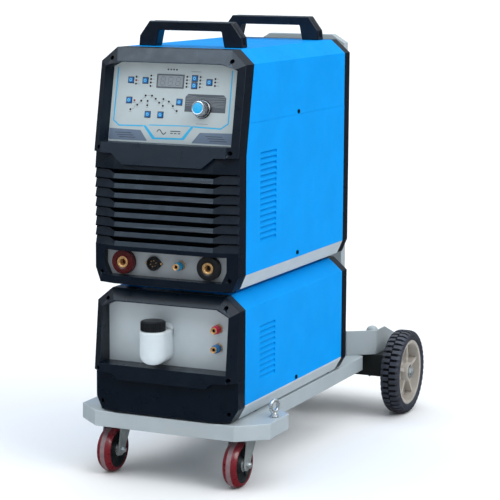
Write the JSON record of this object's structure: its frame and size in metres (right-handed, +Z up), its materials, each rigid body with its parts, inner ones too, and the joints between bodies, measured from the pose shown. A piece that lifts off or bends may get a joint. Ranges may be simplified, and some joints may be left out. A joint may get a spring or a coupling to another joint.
{
  "type": "welding machine",
  "caption": "Inverter welding power source on a water cooler, both on a four-wheel bottle trolley with swivel front casters, rear bottle tray and backrest.",
  "frame": {"origin": "centre of the bounding box at floor level, where the machine stands", "axes": "+Z up, +X to the right seen from the front, front faces -Y, bottle tray at +Y"},
  "size_m": [0.518, 0.97, 0.962],
  "materials": {
    "black_moulding": "fine satin grain",
    "panel_film": "printed film on sheet steel",
    "display_film": "gloss",
    "silver_plastic": "silver with blue cap",
    "button_plastic": "gloss",
    "light_grey_paint": "satin powder coat",
    "red_socket": "satin with a brass sleeve",
    "black_socket": "satin",
    "coupling": "brass with coloured collars",
    "blue_paint": "satin powder coat",
    "fan_plastic": "matte",
    "switch_plastic": "gloss",
    "aluminium": "milled",
    "rubber": "matte",
    "white_plastic": "translucent satin",
    "cap_plastic": "satin, ribbed",
    "pump_metal": "painted",
    "trolley_paint": "satin powder coat",
    "black_paint": "satin",
    "zinc": "bright zinc plating",
    "rim_plastic": "satin",
    "tyre": "matte",
    "caster_tread": "cast polyurethane",
    "black_screw": "black oxide"
  },
  "bodies": {
    "root": {"power_front_frame": "black_moulding", "power_front_grille": "black_moulding", "control_panel": "panel_film", "display_window": "display_film", "connector_plate": "light_grey_paint", "positive_socket": "red_socket", "negative_socket": "black_socket", "control_socket": "black_socket", "gas_outlet": "coupling", "power_base_pan": "light_grey_paint", "top_cover": "blue_paint", "side_panels": "blue_paint", "power_rear_bezel": "black_moulding", "power_rear_panel": "light_grey_paint", "carry_handles": "black_moulding", "rear_inlets": "black_socket", "inverter_module": "aluminium", "machine_feet": "rubber", "cooler_front_frame": "black_moulding", "cooler_lower_front": "black_moulding", "cooler_front_panel": "light_grey_paint", "filler_bottle": "white_plastic", "coolant_couplings": "coupling", "cooler_base_pan": "light_grey_paint", "cooler_cover": "blue_paint", "cooler_rear_bezel": "black_moulding", "cooler_rear_panel": "light_grey_paint", "coolant_pump": "pump_metal", "coolant_tank": "white_plastic", "radiator": "aluminium", "front_deck": "trolley_paint", "frame_rails": "trolley_paint", "bottle_tray": "trolley_paint", "bottle_backrest": "trolley_paint", "axle_carrier": "black_paint", "rear_axle": "zinc", "eye_bolts": "zinc", "screws": "black_screw"},
    "encoder_knob": {"encoder_knob": "silver_plastic"},
    "power_fan": {"power_fan": "fan_plastic"},
    "cooler_fan": {"cooler_fan": "fan_plastic"},
    "power_switch": {"power_switch": "switch_plastic"},
    "filler_cap": {"filler_cap": "cap_plastic"},
    "rear_wheel_right": {"rear_rim_right": "rim_plastic", "rear_tyre_right": "tyre"},
    "rear_wheel_left": {"rear_rim_left": "rim_plastic", "rear_tyre_left": "tyre"},
    "caster_fork_right": {"caster_fork_right": "zinc"},
    "caster_fork_left": {"caster_fork_left": "zinc"},
    "caster_wheel_right": {"caster_wheel_right": "caster_tread"},
    "caster_wheel_left": {"caster_wheel_left": "caster_tread"},
    "button_1": {"button_1": "button_plastic"},
    "button_2": {"button_2": "button_plastic"},
    "button_3": {"button_3": "button_plastic"},
    "button_4": {"button_4": "button_plastic"},
    "button_5": {"button_5": "button_plastic"},
    "button_6": {"button_6": "button_plastic"},
    "button_7": {"button_7": "button_plastic"},
    "button_8": {"button_8": "button_plastic"},
    "button_9": {"button_9": "button_plastic"}
  },
  "joints": [
    {"name": "caster_swivel_right", "type": "hinge", "parent": "root", "child": "caster_fork_right", "pos_m": [0.1476, -0.373, 0.127], "axis": [0, 0, 1], "continuous": true},
    {"name": "caster_spin_right", "type": "hinge", "parent": "caster_fork_right", "child": "caster_wheel_right", "pos_m": [0.1476, -0.401, 0.05], "axis": [1, 0, 0], "continuous": true},
    {"name": "rear_wheel_spin_right", "type": "hinge", "parent": "root", "child": "rear_wheel_right", "pos_m": [0.231, 0.375, 0.101], "axis": [1, 0, 0], "continuous": true},
    {"name": "caster_swivel_left", "type": "hinge", "parent": "root", "child": "caster_fork_left", "pos_m": [-0.1476, -0.373, 0.127], "axis": [0, 0, 1], "continuous": true},
    {"name": "caster_spin_left", "type": "hinge", "parent": "caster_fork_left", "child": "caster_wheel_left", "pos_m": [-0.1476, -0.401, 0.05], "axis": [1, 0, 0], "continuous": true},
    {"name": "rear_wheel_spin_left", "type": "hinge", "parent": "root", "child": "rear_wheel_left", "pos_m": [-0.231, 0.375, 0.101], "axis": [1, 0, 0], "continuous": true},
    {"name": "encoder_turn", "type": "hinge", "parent": "root", "child": "encoder_knob", "pos_m": [0.07, -0.41754, 0.78869], "axis": [0, -0.9816, 0.1908], "continuous": true},
    {"name": "power_fan_spin", "type": "hinge", "parent": "root", "child": "power_fan", "pos_m": [0, 0.117, 0.59], "axis": [0, 1, 0], "continuous": true},
    {"name": "cooler_fan_spin", "type": "hinge", "parent": "root", "child": "cooler_fan", "pos_m": [0, 0.117, 0.282], "axis": [0, 1, 0], "continuous": true},
    {"name": "switch_rock", "type": "hinge", "parent": "root", "child": "power_switch", "pos_m": [-0.07, 0.148, 0.8], "axis": [1, 0, 0], "range_deg": [-12, 12]},
    {"name": "filler_cap_turn", "type": "hinge", "parent": "root", "child": "filler_cap", "pos_m": [-0.0215, -0.457, 0.33], "axis": [0, 0, 1], "range_deg": [0, 540]},
    {"name": "button_1_press", "type": "slide", "parent": "root", "child": "button_1", "axis": [0, 0.9816, -0.1908], "range_m": [0, 0.001], "stiffness_N_per_m": 400},
    {"name": "button_2_press", "type": "slide", "parent": "root", "child": "button_2", "axis": [0, 0.9816, -0.1908], "range_m": [0, 0.001], "stiffness_N_per_m": 400},
    {"name": "button_3_press", "type": "slide", "parent": "root", "child": "button_3", "axis": [0, 0.9816, -0.1908], "range_m": [0, 0.001], "stiffness_N_per_m": 400},
    {"name": "button_4_press", "type": "slide", "parent": "root", "child": "button_4", "axis": [0, 0.9816, -0.1908], "range_m": [0, 0.001], "stiffness_N_per_m": 400},
    {"name": "button_5_press", "type": "slide", "parent": "root", "child": "button_5", "axis": [0, 0.9816, -0.1908], "range_m": [0, 0.001], "stiffness_N_per_m": 400},
    {"name": "button_6_press", "type": "slide", "parent": "root", "child": "button_6", "axis": [0, 0.9816, -0.1908], "range_m": [0, 0.001], "stiffness_N_per_m": 400},
    {"name": "button_7_press", "type": "slide", "parent": "root", "child": "button_7", "axis": [0, 0.9816, -0.1908], "range_m": [0, 0.001], "stiffness_N_per_m": 400},
    {"name": "button_8_press", "type": "slide", "parent": "root", "child": "button_8", "axis": [0, 0.9816, -0.1908], "range_m": [0, 0.001], "stiffness_N_per_m": 400},
    {"name": "button_9_press", "type": "slide", "parent": "root", "child": "button_9", "axis": [0, 0.9816, -0.1908], "range_m": [0, 0.001], "stiffness_N_per_m": 400}
  ]
}
